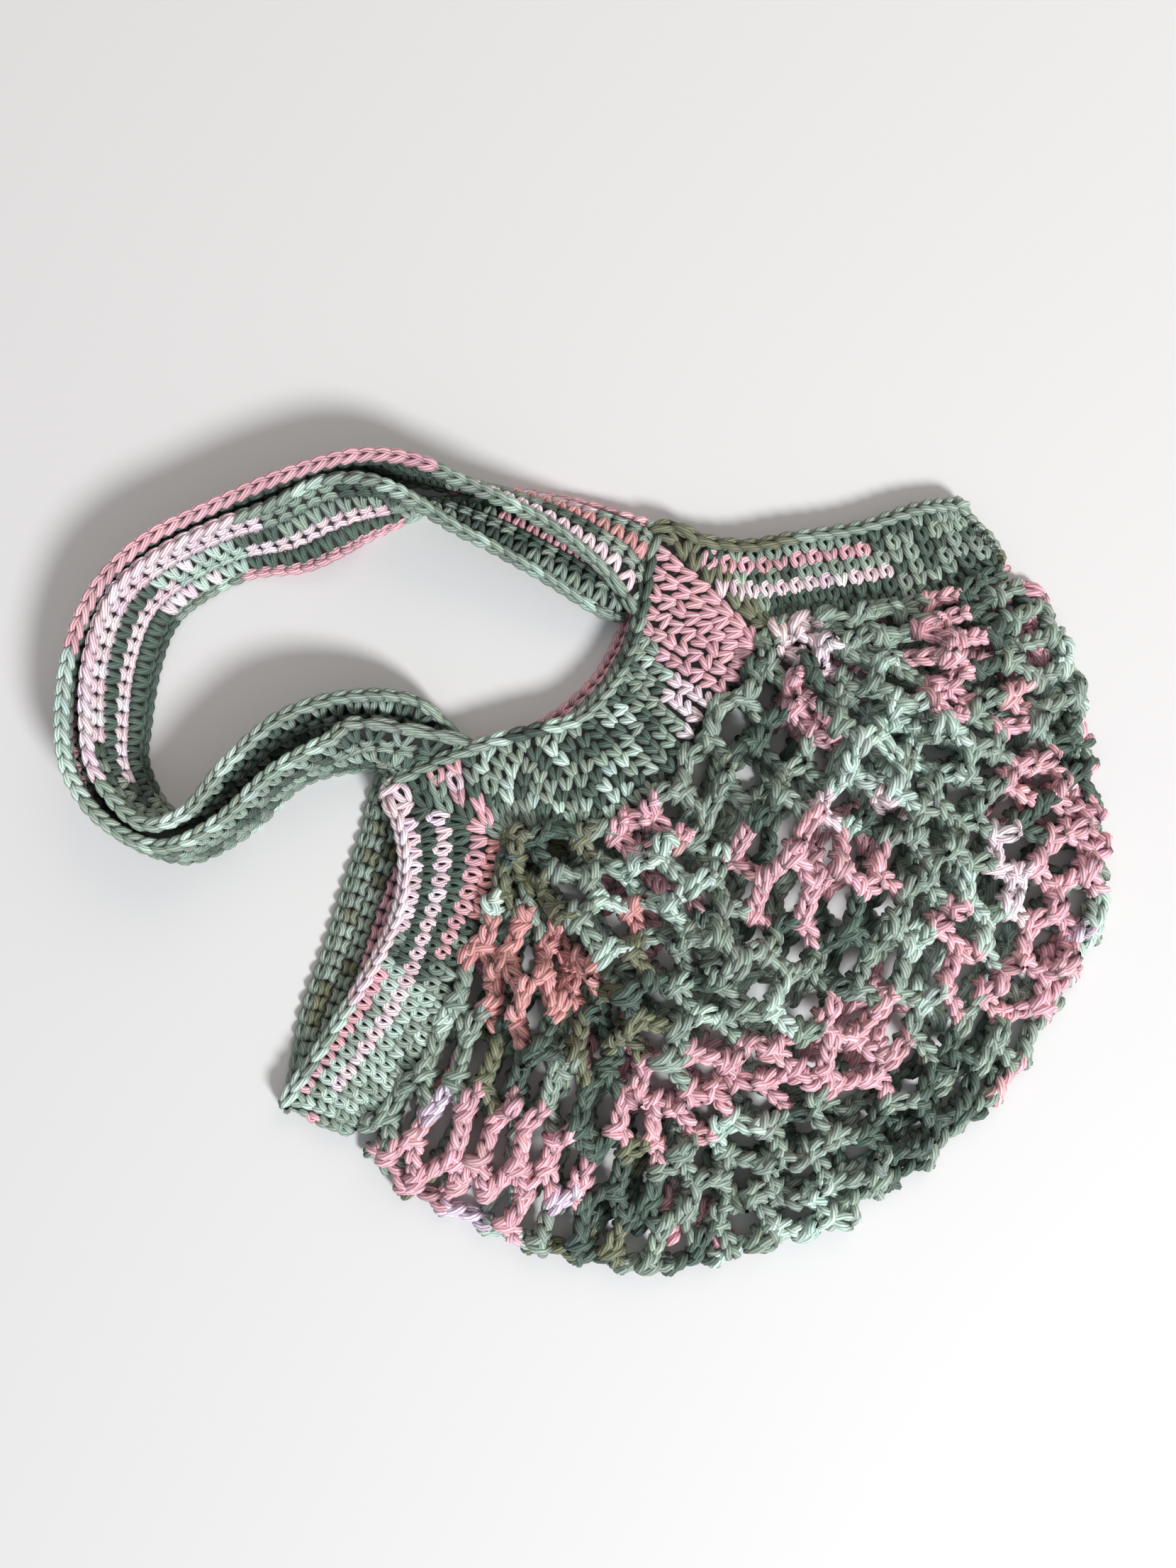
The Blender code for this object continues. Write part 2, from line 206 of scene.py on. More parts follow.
def along(rows, t, closed=False):
    count = len(rows)
    if closed:
        i = math.floor(t)
        f = t - i
        before, a, b, after = (rows[(i + k) % count] for k in (-1, 0, 1, 2))
    else:
        last = count - 1
        t = min(max(t, 0.0), float(last))
        i = min(int(t), last - 1)
        f = t - i
        a, b = rows[i], rows[i + 1]
        before = rows[i - 1] if i > 0 else 2 * a - b
        after = rows[i + 2] if i + 2 <= last else 2 * b - a
    return (
        a
        + (b - before) * (0.5 * f)
        + (2 * before - 5 * a + 4 * b - after) * (0.5 * f * f)
        + (3 * a - before - 3 * b + after) * (0.5 * f * f * f)
    )


def place(x, y, height):
    return np.array((x * bagLength, y * bagLength, height * pileHeight)) - boxShift


def evenStops(pointAt, start, end, step, samples=600):
    # parameter values that lie a whole number of equal steps apart along a curve
    values = np.linspace(start, end, samples + 1)
    points = np.array([pointAt(value) for value in values])
    run = np.concatenate(([0.0], np.cumsum(np.linalg.norm(np.diff(points, axis=0), axis=1))))
    count = max(int(round(run[-1] / step)), 1)

    def stop(index):
        return float(np.interp(index / count * run[-1], run, values))

    return count, stop


# The stitches, as strands of yarn in a unit cell

# Columns of each strand: across (towards the row before), along the row, up from the cloth.
backBars = (
    ((-0.5, -0.46, -0.06), (-0.28, -0.2, -0.27), (-0.22, 0.12, -0.29), (-0.44, 0.42, -0.08)),
    ((0.42, -0.44, -0.06), (0.12, -0.22, -0.27), (0.1, 0.14, -0.29), (0.36, 0.44, -0.08)),
)
stitchStrands = {
    "single": (
        (
            (-0.74, -0.04, -0.2), (-0.48, -0.26, 0.14), (-0.08, -0.31, 0.27),
            (0.32, -0.19, 0.24), (0.64, 0.03, -0.1),
        ),
        (
            (-0.5, 0.16, -0.14), (-0.26, 0.28, 0.18), (0.08, 0.3, 0.29),
            (0.38, 0.17, 0.25), (0.66, -0.02, -0.1),
        ),
        ((-0.62, 0.26, -0.2), (-0.52, 0.04, 0.2), (-0.46, -0.2, 0.22), (-0.36, -0.44, -0.16)),
        *backBars,
    ),
    "plump": (
        (
            (-0.58, -0.34, -0.18), (-0.3, -0.27, 0.2), (0.08, -0.17, 0.28),
            (0.42, -0.06, 0.14), (0.64, 0.02, -0.16),
        ),
        (
            (-0.52, 0.36, -0.18), (-0.26, 0.26, 0.22), (0.1, 0.15, 0.29),
            (0.44, 0.07, 0.14), (0.66, 0.0, -0.16),
        ),
        *backBars,
    ),
    "chain": (
        (
            (-0.02, -0.64, 0.02), (0.12, -0.34, 0.22), (0.27, 0.0, 0.2),
            (0.32, 0.34, 0.05), (0.18, 0.68, -0.2),
        ),
        (
            (0.03, -0.52, 0.04), (-0.12, -0.22, 0.23), (-0.27, 0.12, 0.2),
            (-0.32, 0.44, 0.04), (-0.14, 0.74, -0.22),
        ),
        ((0.0, -0.62, -0.2), (0.06, -0.1, -0.3), (-0.03, 0.35, -0.3), (0.0, 0.7, -0.16)),
    ),
    "knot": (
        (
            (-0.46, -0.42, -0.34), (-0.22, -0.32, 0.2), (0.14, -0.18, 0.3),
            (0.44, -0.08, 0.12), (0.62, -0.02, -0.2),
        ),
        (
            (-0.44, 0.34, -0.34), (-0.18, 0.28, 0.22), (0.16, 0.14, 0.32),
            (0.44, 0.12, 0.12), (0.66, 0.14, -0.2),
        ),
        ((-0.08, -0.62, -0.34), (-0.16, -0.22, 0.06), (-0.14, 0.2, 0.1), (-0.06, 0.6, -0.34)),
    ),
    "hook": (
        ((-0.5, -0.3, -0.34), (-0.2, -0.22, 0.22), (0.18, -0.06, 0.28), (0.46, 0.02, -0.3)),
        ((-0.44, 0.16, -0.34), (-0.14, 0.22, 0.24), (0.24, 0.32, 0.24), (0.5, 0.34, -0.32)),
    ),
}

yarnValues = {
    "strandSteps": 5,
    "roundSides": 6,
    "endTaper": 0.80,
    "plies": 7,
    "plyTwist": 230.0,
    "fibre": 0.7,
    "fullness": 3.0,
    "weld": 0.000001,
    "edgeLift": 0.0012,
    "chainOverlap": 1.05,
    "pressHeight": 0.0016,
    # painted shade: how far the heart sheet's dark yarn colour is dimmed
    "heartShade": 0.45,
    "darkest": 0.005,
    "lightest": 0.92,
}

lookValues = {
    "fibreTurns": 3.0,
    "fibreRun": 260.0,
    "fibreScale": 1.6,
    "fibreDetail": 3.0,
    "grooveSharpness": 0.6,
    "plySpread": 0.6,
    "fibreRelief": 0.35,
    "toneGiven": (0.25, 1.0),
    "toneShade": (0.68, 1.42),
    # painted shade in the grooves between the plies
    "grooveGiven": (0.0, 1.0),
    "grooveShade": (0.30, 1.0),
    # painted shade at the strand ends and painted light on their crowns
    "diveGiven": (0.0, 0.20),
    "diveShade": (0.22, 1.08),
    "bumpDepth": 0.0004,
    "specular": 0.45,
    "sheen": 0.12,
    "sheenRoughness": 0.5,
}


def strandObject(kind):
    curve = bpy.data.curves.new("strands_" + kind, "CURVE")
    curve.dimensions = "3D"
    for strand in stitchStrands[kind]:
        spline = curve.splines.new("POLY")
        spline.points.add(len(strand) - 1)
        for point, values in zip(spline.points, strand):
            point.co = (*values, 1.0)
    return bpy.data.objects.new("strands_" + kind, curve)


strandObjects = {kind: strandObject(kind) for kind in stitchStrands}


def newNode(tree, kind, inputs=None, **settings):
    node = tree.nodes.new(kind)
    for key, value in settings.items():
        setattr(node, key, value)
    for name, value in (inputs or {}).items():
        if isinstance(value, bpy.types.NodeSocket):
            tree.links.new(value, node.inputs[name])
        else:
            node.inputs[name].default_value = value
    return node


def mathNode(tree, operation, first, second=None):
    numbers = {0: first} if second is None else {0: first, 1: second}
    return newNode(tree, "ShaderNodeMath", numbers, operation=operation).outputs[0]


def namedVector(tree, name):
    node = newNode(tree, "GeometryNodeInputNamedAttribute", {"Name": name}, data_type="FLOAT_VECTOR")
    return node.outputs["Attribute"]


def stored(tree, mesh, name, value, kind, domain):
    inputs = {"Geometry": mesh, "Name": name, "Value": value}
    node = newNode(tree, "GeometryNodeStoreNamedAttribute", inputs, data_type=kind, domain=domain)
    return node.outputs[0]


def captureRun(tree, curve, names):
    # keeps where a point lies on its own spline, for the map and the radius
    parameter = newNode(tree, "GeometryNodeSplineParameter")
    node = newNode(tree, "GeometryNodeCaptureAttribute", {"Geometry": curve}, domain="POINT")
    for name in names:
        node.capture_items.new("FLOAT", name)
        tree.links.new(parameter.outputs[name], node.inputs[name])
    return node.outputs


def buildStitchTree():
    # lays the strands of one stitch on every point and sweeps the yarn along them
    tree = bpy.data.node_groups.new("crochetStitches", "GeometryNodeTree")
    sockets = (
        ("Geometry", "NodeSocketGeometry"),
        ("Strands", "NodeSocketObject"),
        ("Yarn Radius", "NodeSocketFloat"),
        ("Strand Steps", "NodeSocketInt"),
        ("Round Sides", "NodeSocketInt"),
        ("End Taper", "NodeSocketFloat"),
        ("Material", "NodeSocketMaterial"),
    )
    for name, kind in sockets:
        tree.interface.new_socket(name, in_out="INPUT", socket_type=kind)
    tree.interface.new_socket("Geometry", in_out="OUTPUT", socket_type="NodeSocketGeometry")
    given = newNode(tree, "NodeGroupInput").outputs

    strands = newNode(tree, "GeometryNodeObjectInfo", {"Object": given["Strands"]})
    axes = {"Primary Axis": namedVector(tree, "upAxis"), "Secondary Axis": namedVector(tree, "sideAxis")}
    turn = newNode(tree, "FunctionNodeAxesToRotation", axes, primary_axis="Z", secondary_axis="X")
    cells = {
        "Points": given["Geometry"],
        "Instance": strands.outputs["Geometry"],
        "Rotation": turn.outputs["Rotation"],
        "Scale": namedVector(tree, "cellSize"),
    }
    onPoints = newNode(tree, "GeometryNodeInstanceOnPoints", cells).outputs[0]
    real = newNode(tree, "GeometryNodeRealizeInstances", {"Geometry": onPoints}).outputs[0]
    rounded = newNode(tree, "GeometryNodeCurveSplineType", {"Curve": real}, spline_type="CATMULL_ROM")
    even = {"Curve": rounded.outputs[0], "Count": given["Strand Steps"]}
    steps = newNode(tree, "GeometryNodeResampleCurve", even, mode="COUNT")
    strand = captureRun(tree, steps.outputs["Curve"], ("Length", "Factor"))

    share = strand["Factor"]
    bulge = mathNode(tree, "MULTIPLY", share, mathNode(tree, "SUBTRACT", 1.0, share))
    bulge = mathNode(tree, "MULTIPLY", bulge, yarnValues["fullness"])
    taper = mathNode(tree, "MINIMUM", mathNode(tree, "ADD", bulge, given["End Taper"]), 1.0)
    radius = mathNode(tree, "MULTIPLY", taper, given["Yarn Radius"])
    corners = mathNode(tree, "ADD", given["Round Sides"], 1.0)
    circle = {"Radius": 1.0, "Sweep Angle": math.tau, "Resolution": corners}
    around = newNode(tree, "GeometryNodeCurveArc", circle, mode="RADIUS")
    ring = captureRun(tree, around.outputs["Curve"], ("Factor",))
    swept = {"Curve": strand["Geometry"], "Profile Curve": ring["Geometry"]}
    swept.update({"Scale": radius, "Fill Caps": True})
    mesh = newNode(tree, "GeometryNodeCurveToMesh", swept).outputs["Mesh"]
    yarnMap = newNode(tree, "ShaderNodeCombineXYZ", {"X": strand["Length"], "Y": ring["Factor"]})
    mesh = stored(tree, mesh, "yarnMap", yarnMap.outputs["Vector"], "FLOAT2", "CORNER")
    weld = {"Geometry": mesh, "Distance": yarnValues["weld"]}
    mesh = newNode(tree, "GeometryNodeMergeByDistance", weld).outputs[0]
    mesh = newNode(tree, "GeometryNodeSetShadeSmooth", {"Geometry": mesh}).outputs[0]
    mesh = stored(tree, mesh, "strandShare", share, "FLOAT", "POINT")
    mesh = newNode(tree, "GeometryNodeRealizeInstances", {"Geometry": mesh}).outputs[0]
    dressed = newNode(tree, "GeometryNodeSetMaterial", {"Geometry": mesh, "Material": given["Material"]})
    newNode(tree, "NodeGroupOutput", {"Geometry": dressed.outputs[0]})
    return tree


stitchTree = buildStitchTree()

# Yarn material


def buildPlyGroup():
    # masks and height of the plies that wind round the yarn, read from its own map
    group = bpy.data.node_groups.new("yarnPlies", "ShaderNodeTree")
    group.interface.new_socket("Yarn Map", in_out="INPUT", socket_type="NodeSocketVector")
    for name in ("Plies", "Twist", "Fibre"):
        group.interface.new_socket(name, in_out="INPUT", socket_type="NodeSocketFloat")
    for name in ("Groove", "Ply Tone", "Height"):
        group.interface.new_socket(name, in_out="OUTPUT", socket_type="NodeSocketFloat")
    given = newNode(group, "NodeGroupInput").outputs
    parts = newNode(group, "ShaderNodeSeparateXYZ", {0: given["Yarn Map"]}).outputs
    ring = mathNode(group, "MULTIPLY", parts["Y"], given["Plies"])
    twist = mathNode(group, "MULTIPLY", parts["X"], given["Twist"])
    turns = mathNode(group, "ADD", ring, twist)
    wave = mathNode(group, "SINE", mathNode(group, "MULTIPLY", turns, math.pi))
    ridge = mathNode(group, "ABSOLUTE", wave)
    which = mathNode(group, "FLOOR", turns)
    speckle = newNode(group, "ShaderNodeTexWhiteNoise", {"W": which}, noise_dimensions="1D")
    streak = {
        "X": mathNode(group, "MULTIPLY", turns, lookValues["fibreTurns"]),
        "Y": mathNode(group, "MULTIPLY", parts["X"], lookValues["fibreRun"]),
    }
    stretch = newNode(group, "ShaderNodeCombineXYZ", streak)
    scale, detail = lookValues["fibreScale"], lookValues["fibreDetail"]
    noise = {"Vector": stretch.outputs[0], "Scale": scale, "Detail": detail}
    fibres = newNode(group, "ShaderNodeTexNoise", noise).outputs["Fac"]
    plyTone = mathNode(group, "MULTIPLY", speckle.outputs["Value"], lookValues["plySpread"])
    relief = mathNode(group, "MULTIPLY", fibres, lookValues["fibreRelief"])
    results = {
        # the groove mask later carries painted shade in the grooves between the plies
        "Groove": mathNode(group, "POWER", ridge, lookValues["grooveSharpness"]),
        "Ply Tone": mathNode(group, "ADD", plyTone, mathNode(group, "MULTIPLY", fibres, given["Fibre"])),
        "Height": mathNode(group, "ADD", ridge, relief),
    }
    newNode(group, "NodeGroupOutput", results)
    return group


plyGroup = buildPlyGroup()


def rampNode(tree, value, name):
    (low, high), (dull, bright) = lookValues[name + "Given"], lookValues[name + "Shade"]
    numbers = {"Value": value, "From Min": low, "From Max": high, "To Min": dull, "To Max": bright}
    return newNode(tree, "ShaderNodeMapRange", numbers).outputs[0]


def yarnMaterial(name, values):
    material = bpy.data.materials.new(name)
    material.use_nodes = True
    tree = material.node_tree
    shader = tree.nodes["Principled BSDF"]
    yarnMap = newNode(tree, "ShaderNodeUVMap", uv_map="yarnMap").outputs["UV"]
    wound = {
        "Yarn Map": yarnMap,
        "Plies": yarnValues["plies"],
        "Twist": yarnValues["plyTwist"],
        "Fibre": yarnValues["fibre"],
    }
    plies = newNode(tree, "ShaderNodeGroup", wound, node_tree=plyGroup)
    tint = newNode(tree, "ShaderNodeAttribute", attribute_name="tint").outputs["Color"]
    # painted shade: the colour is darkened in the grooves between the plies
    groove = rampNode(tree, plies.outputs["Groove"], "groove")
    shade = mathNode(tree, "MULTIPLY", rampNode(tree, plies.outputs["Ply Tone"], "tone"), groove)
    # painted shade: strands are darkened towards their ends, where they dive under their neighbours, and
    # painted light makes their crowns a little brighter
    share = newNode(tree, "ShaderNodeAttribute", attribute_name="strandShare").outputs["Fac"]
    arch = mathNode(tree, "MULTIPLY", share, mathNode(tree, "SUBTRACT", 1.0, share))
    shade = mathNode(tree, "MULTIPLY", shade, rampNode(tree, arch, "dive"))
    colour = newNode(tree, "ShaderNodeVectorMath", {0: tint, "Scale": shade}, operation="SCALE")
    relief = {
        "Strength": values["bump"],
        "Distance": lookValues["bumpDepth"],
        "Height": plies.outputs["Height"],
    }
    bump = newNode(tree, "ShaderNodeBump", relief)
    tree.links.new(colour.outputs[0], shader.inputs["Base Color"])
    tree.links.new(bump.outputs[0], shader.inputs["Normal"])
    shader.inputs["Roughness"].default_value = values["roughness"]
    shader.inputs["Specular IOR Level"].default_value = lookValues["specular"]
    shader.inputs["Sheen Weight"].default_value = lookValues["sheen"]
    shader.inputs["Sheen Roughness"].default_value = lookValues["sheenRoughness"]
    return material


# Laying stitches


class StitchPile:
    # points for one kind of stitch: where, which way up, how large and what colour
    def __init__(self, kind):
        self.kind = kind
        self.rows = []

    def add(self, point, up, side, size, colour):
        self.rows.append((point, unit(up), unit(side), size, colour))


def plainMesh(holder):
    # the result of the object's modifier, as a mesh of its own
    graph = bpy.context.evaluated_depsgraph_get()
    made = bpy.data.meshes.new_from_object(holder.evaluated_get(graph))
    bpy.data.objects.remove(holder)
    return made


def stitchMesh(pile, material, radius):
    mesh = bpy.data.meshes.new("points")
    mesh.from_pydata([tuple(row[0]) for row in pile.rows], [], [])
    for column, name in ((1, "upAxis"), (2, "sideAxis"), (3, "cellSize")):
        values = mesh.attributes.new(name, "FLOAT_VECTOR", "POINT")
        vectors = np.array([row[column] for row in pile.rows], dtype=np.float32)
        values.data.foreach_set("vector", vectors.ravel())
    colours = np.ones((len(pile.rows), 4), dtype=np.float32)
    shades = [row[4] for row in pile.rows]
    colours[:, :3] = np.clip(shades, yarnValues["darkest"], yarnValues["lightest"])
    tint = mesh.attributes.new("tint", "FLOAT_COLOR", "POINT")
    tint.data.foreach_set("color", colours.ravel())
    holder = bpy.data.objects.new("points", mesh)
    scene.collection.objects.link(holder)
    modifier = holder.modifiers.new("stitches", "NODES")
    modifier.node_group = stitchTree
    chosen = {
        "Strands": strandObjects[pile.kind],
        "Yarn Radius": radius,
        "Strand Steps": yarnValues["strandSteps"],
        "Round Sides": yarnValues["roundSides"],
        "End Taper": yarnValues["endTaper"],
        "Material": material,
    }
    for item in stitchTree.interface.items_tree:
        if item.item_type == "SOCKET" and item.in_out == "INPUT" and item.name in chosen:
            modifier[item.identifier] = chosen[item.name]
    holder.update_tag()
    return plainMesh(holder)


def clothMesh(rows, thickness, material):
    # a sheet through the heart of the cloth that closes it between the stitches, coloured with painted
    # shade for the gaps
    count, width = len(rows), len(rows[0])
    verts = [tuple(point) for row in rows for point in row]
    faces = []
    for i in range(count - 1):
        for a in range(i * width, i * width + width - 1):
            faces.append((a, a + 1, a + width + 1, a + width))
    mesh = bpy.data.meshes.new("cloth")
    mesh.from_pydata(verts, [], faces)
    tint = mesh.attributes.new("tint", "FLOAT_COLOR", "POINT")
    values = np.ones((len(verts), 4), dtype=np.float32)
    # painted shade: the dark yarn colour dimmed by heartShade
    values[:, :3] = yarnColours["dark"] * yarnValues["heartShade"]
    tint.data.foreach_set("color", values.ravel())
    mesh.attributes.new("yarnMap", "FLOAT2", "CORNER")
    mesh.attributes.new("strandShare", "FLOAT", "POINT")
    mesh.materials.append(material)
    holder = bpy.data.objects.new("cloth", mesh)
    scene.collection.objects.link(holder)
    wall = holder.modifiers.new("wall", "SOLIDIFY")
    wall.thickness = thickness
    wall.offset = 0.0
    return plainMesh(holder)


def pressDown(mesh):
    # yarn that lies on the floor is pressed flat instead of going through it
    soft = yarnValues["pressHeight"]
    places = np.zeros(len(mesh.vertices) * 3, dtype=np.float32)
    mesh.vertices.foreach_get("co", places)
    places = places.reshape(-1, 3)
    low = places[:, 2] < soft
    places[low, 2] = soft * np.exp((places[low, 2] - soft) / soft)
    mesh.vertices.foreach_set("co", places.ravel())
    mesh.update()


def joinPiece(name, meshes, node):
    parts = [bpy.data.objects.new(name, mesh) for mesh in meshes]
    for part in parts:
        scene.collection.objects.link(part)
    with bpy.context.temp_override(
        active_object=parts[0], object=parts[0], selected_objects=parts, selected_editable_objects=parts
    ):
        bpy.ops.object.join()
    piece = parts[0]
    piece.name = name
    piece.data.name = name
    piece.data.uv_layers["yarnMap"].active = True
    pressDown(piece.data)
    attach(piece, "root")
    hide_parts(node)
    count = sum(len(face.vertices) - 2 for face in piece.data.polygons)
    print(name, "made with", count, "triangles")


def edgeSize(values, pitch):
    return values["edgeWidth"], pitch * yarnValues["chainOverlap"], values["edgeHeight"]


def pieceMeshes(name, piles, heart, values, material, node):
    meshes = [stitchMesh(pile, material, values["yarnRadius"]) for pile in piles.values() if pile.rows]
    if heart:
        meshes.insert(0, clothMesh(heart, values["heart"], material))
    joinPiece(name, meshes, node)


# Mouth band

bandFront = [
    # mouthX, mouthY, mouthHeight, netX, netY, netHeight
    (-0.281, -0.298, 0.25, -0.222, -0.325, 0.25),
    (-0.243, -0.243, 0.3, -0.187, -0.292, 0.4),
    (-0.199, -0.174, 0.4, -0.145, -0.235, 0.5),
    (-0.173, -0.119, 0.47, -0.118, -0.162, 0.57),
    (-0.167, -0.072, 0.47, -0.092, -0.113, 0.6),
    (-0.174, -0.033, 0.43, -0.078, -0.065, 0.63),
    (-0.182, -0.004, 0.4, -0.07, -0.041, 0.63),
    (-0.109, 0.03, 0.43, -0.026, -0.036, 0.63),
    (-0.05, 0.046, 0.47, 0.013, -0.034, 0.63),
    (-0.007, 0.058, 0.47, 0.046, -0.019, 0.63),
    (0.024, 0.089, 0.43, 0.076, 0.009, 0.63),
    (0.043, 0.124, 0.4, 0.105, 0.063, 0.63),
    (0.054, 0.163, 0.37, 0.14, 0.099, 0.6),
    (0.069, 0.237, 0.33, 0.157, 0.134, 0.57),
    (0.107, 0.225, 0.33, 0.171, 0.147, 0.53),
    (0.151, 0.22, 0.33, 0.192, 0.153, 0.5),
    (0.196, 0.228, 0.32, 0.222, 0.158, 0.47),
    (0.257, 0.238, 0.3, 0.27, 0.166, 0.4),
    (0.311, 0.256, 0.27, 0.328, 0.176, 0.33),
    (0.35, 0.261, 0.25, 0.388, 0.208, 0.25),
]
bandBack = [
    # mouthX, mouthY, netX, netY
    (-0.266, -0.22, -0.191, -0.257),
    (-0.244, -0.159, -0.164, -0.2),
    (-0.225, -0.098, -0.142, -0.139),
    (-0.208, -0.048, -0.118, -0.094),
    (-0.193, -0.004, -0.095, -0.054),
    (-0.118, 0.029, -0.044, -0.04),
    (-0.061, 0.043, 0.0, -0.037),
    (-0.02, 0.067, 0.038, -0.015),
    (0.011, 0.096, 0.068, 0.014),
    (0.03, 0.127, 0.099, 0.062),
    (0.042, 0.159, 0.129, 0.096),
    (0.065, 0.232, 0.15, 0.123),
    (0.106, 0.223, 0.17, 0.14),
    (0.15, 0.22, 0.194, 0.147),
    (0.196, 0.228, 0.228, 0.153),
    (0.255, 0.237, 0.279, 0.163),
    (0.313, 0.255, 0.334, 0.177),
]
joinRows = {"front": {"left": 6, "right": 12}, "back": {"left": 5, "right": 11}}

bandValues = {
    "rows": 6,
    "middleRows": 8,
    "middleStart": 6.7,
    "middleEnd": 13.3,
    "middleTurn": 0.38,
    "turn": 0.06,
    "stitch": 0.0066,
    "lean": 0.10,
    "plumpShare": 0.25,
    "edgeRaise": 0.0014,
    "edgeWidth": 0.0072,
    "edgeHeight": 0.0056,
    "edgeUp": 0.85,
    "edgeOut": 0.5,
    "heart": 0.0016,
    "heartSteps": 60,
    "heartShares": (0.02, 0.35, 0.68, 0.99),
    "yarnRadius": 0.00160,
    "roughness": 0.55,
    "bump": 0.55,
    "toneJitter": 0.05,
    "sageInMint": 0.25,
    "mintInMiddle": 0.22,
    "backPink": (5.5, 12),
    "backPinkRows": (2, 4),
    "backPinkEnd": 4.5,
    "backPinkShare": 0.45,
    "backSage": 0.7,
}

# Stretches of the front layer that are not plain green, counted in rows of its table.
bandStretches = [
    # firstRow, lastRow, start, end, tone
    (-1, -1, 1.6, 6.0, "pale"),
    (0, 0, 2.6, 6.0, "pale"),
    (1, 1, 2.4, 6.0, "dark"),
    (2, 2, 0.6, 5.95, "pale"),
    (3, 3, 2.6, 5.9, "dark"),
    (4, 4, 2.9, 6.25, "pink"),
    (5, 5, 3.4, 5.6, "salmon"),
    (0, 0, 0.2, 2.2, "pink"),
    (-1, 5, 0.0, 2.4, "mint"),
    (3, 3, 6.05, 6.4, "pink"),
    (2, 2, 6.2, 6.5, "pink"),
    (1, 1, 6.35, 6.62, "pale"),
    (0, 0, 6.48, 6.72, "pink"),
    (0, 5, 11.4, 12.9, "pink"),
    (3, 5, 10.7, 11.5, "pale"),
    (-1, -1, 13.0, 16.0, "moss"),
    (-1, -1, 16.0, 19.5, "sage"),
    (1, 1, 13.2, 17.0, "pink"),
    (3, 3, 12.9, 17.4, "pale"),
    (0, 5, 13.0, 14.2, "moss"),
    (4, 5, 14.5, 17.5, "dark"),
]


def bandRing():
    low = (floorGap + clothThickness / 2) / pileHeight
    front = [(place(a, b, c), place(d, e, f)) for a, b, c, d, e, f in bandFront]
    ends = [(bandFront[i][0], bandFront[i][1], bandFront[i][3], bandFront[i][4]) for i in (0, -1)]
    back = [(place(a, b, low), place(c, d, low)) for a, b, c, d in [ends[0], *bandBack, ends[1]]]

    def fold(upper, lower):
        mouth, net = (upper[0] + lower[0]) / 2, (upper[1] + lower[1]) / 2
        drop = (upper[0] - lower[0])[2] / 2
        across = net - mouth
        out = unit(np.array((across[1], -across[0], 0.0)))
        if out @ (mouth + boxShift) < 0:
            out = -out
        return mouth + out * drop, net + out * drop

    ring = front + [fold(front[-1], back[-1])] + back[::-1] + [fold(front[0], back[0])]
    return front, back, ring


frontRows, backRows, ringRows = bandRing()
ringMouth = np.array([row[0] for row in ringRows])
ringNet = np.array([row[1] for row in ringRows])
layerRows = {"front": frontRows, "back": backRows}
layerMouth = {layer: np.array([row[0] for row in rows]) for layer, rows in layerRows.items()}
layerNet = {layer: np.array([row[1] for row in rows]) for layer, rows in layerRows.items()}
frontCount, ringCount = len(frontRows), len(ringRows)


def bandPoint(q, t):
    mouth, net = along(ringMouth, q, True), along(ringNet, q, True)
    return mouth + (net - mouth) * t


def bandTone(q, row):
    if q < frontCount - 0.4 or q > ringCount - 0.6:
        start = (q if q < frontCount else q - ringCount) + bandValues["toneJitter"] * draw.normal()
        for first, last, low, high, name in bandStretches:
            if first <= row <= last and low <= start <= high:
                if name == "mint" and draw.random() < bandValues["sageInMint"]:
                    return "sage"
                return name
        isMiddle = bandValues["middleStart"] < q < bandValues["middleEnd"]
        if isMiddle and draw.random() < bandValues["mintInMiddle"]:
            return "mint"
        return calmGreen(q, row)
    # the back layer, whose inner side shows through the mouth
    back = ringCount - 2 - q
    low, high = bandValues["backPink"]
    if row == -1:
        return "pink" if low < back < high else "sage"
    if row in bandValues["backPinkRows"] and back < bandValues["backPinkEnd"]:
        return "pink" if draw.random() < bandValues["backPinkShare"] else "sage"
    return "sage" if draw.random() < bandValues["backSage"] else "moss"


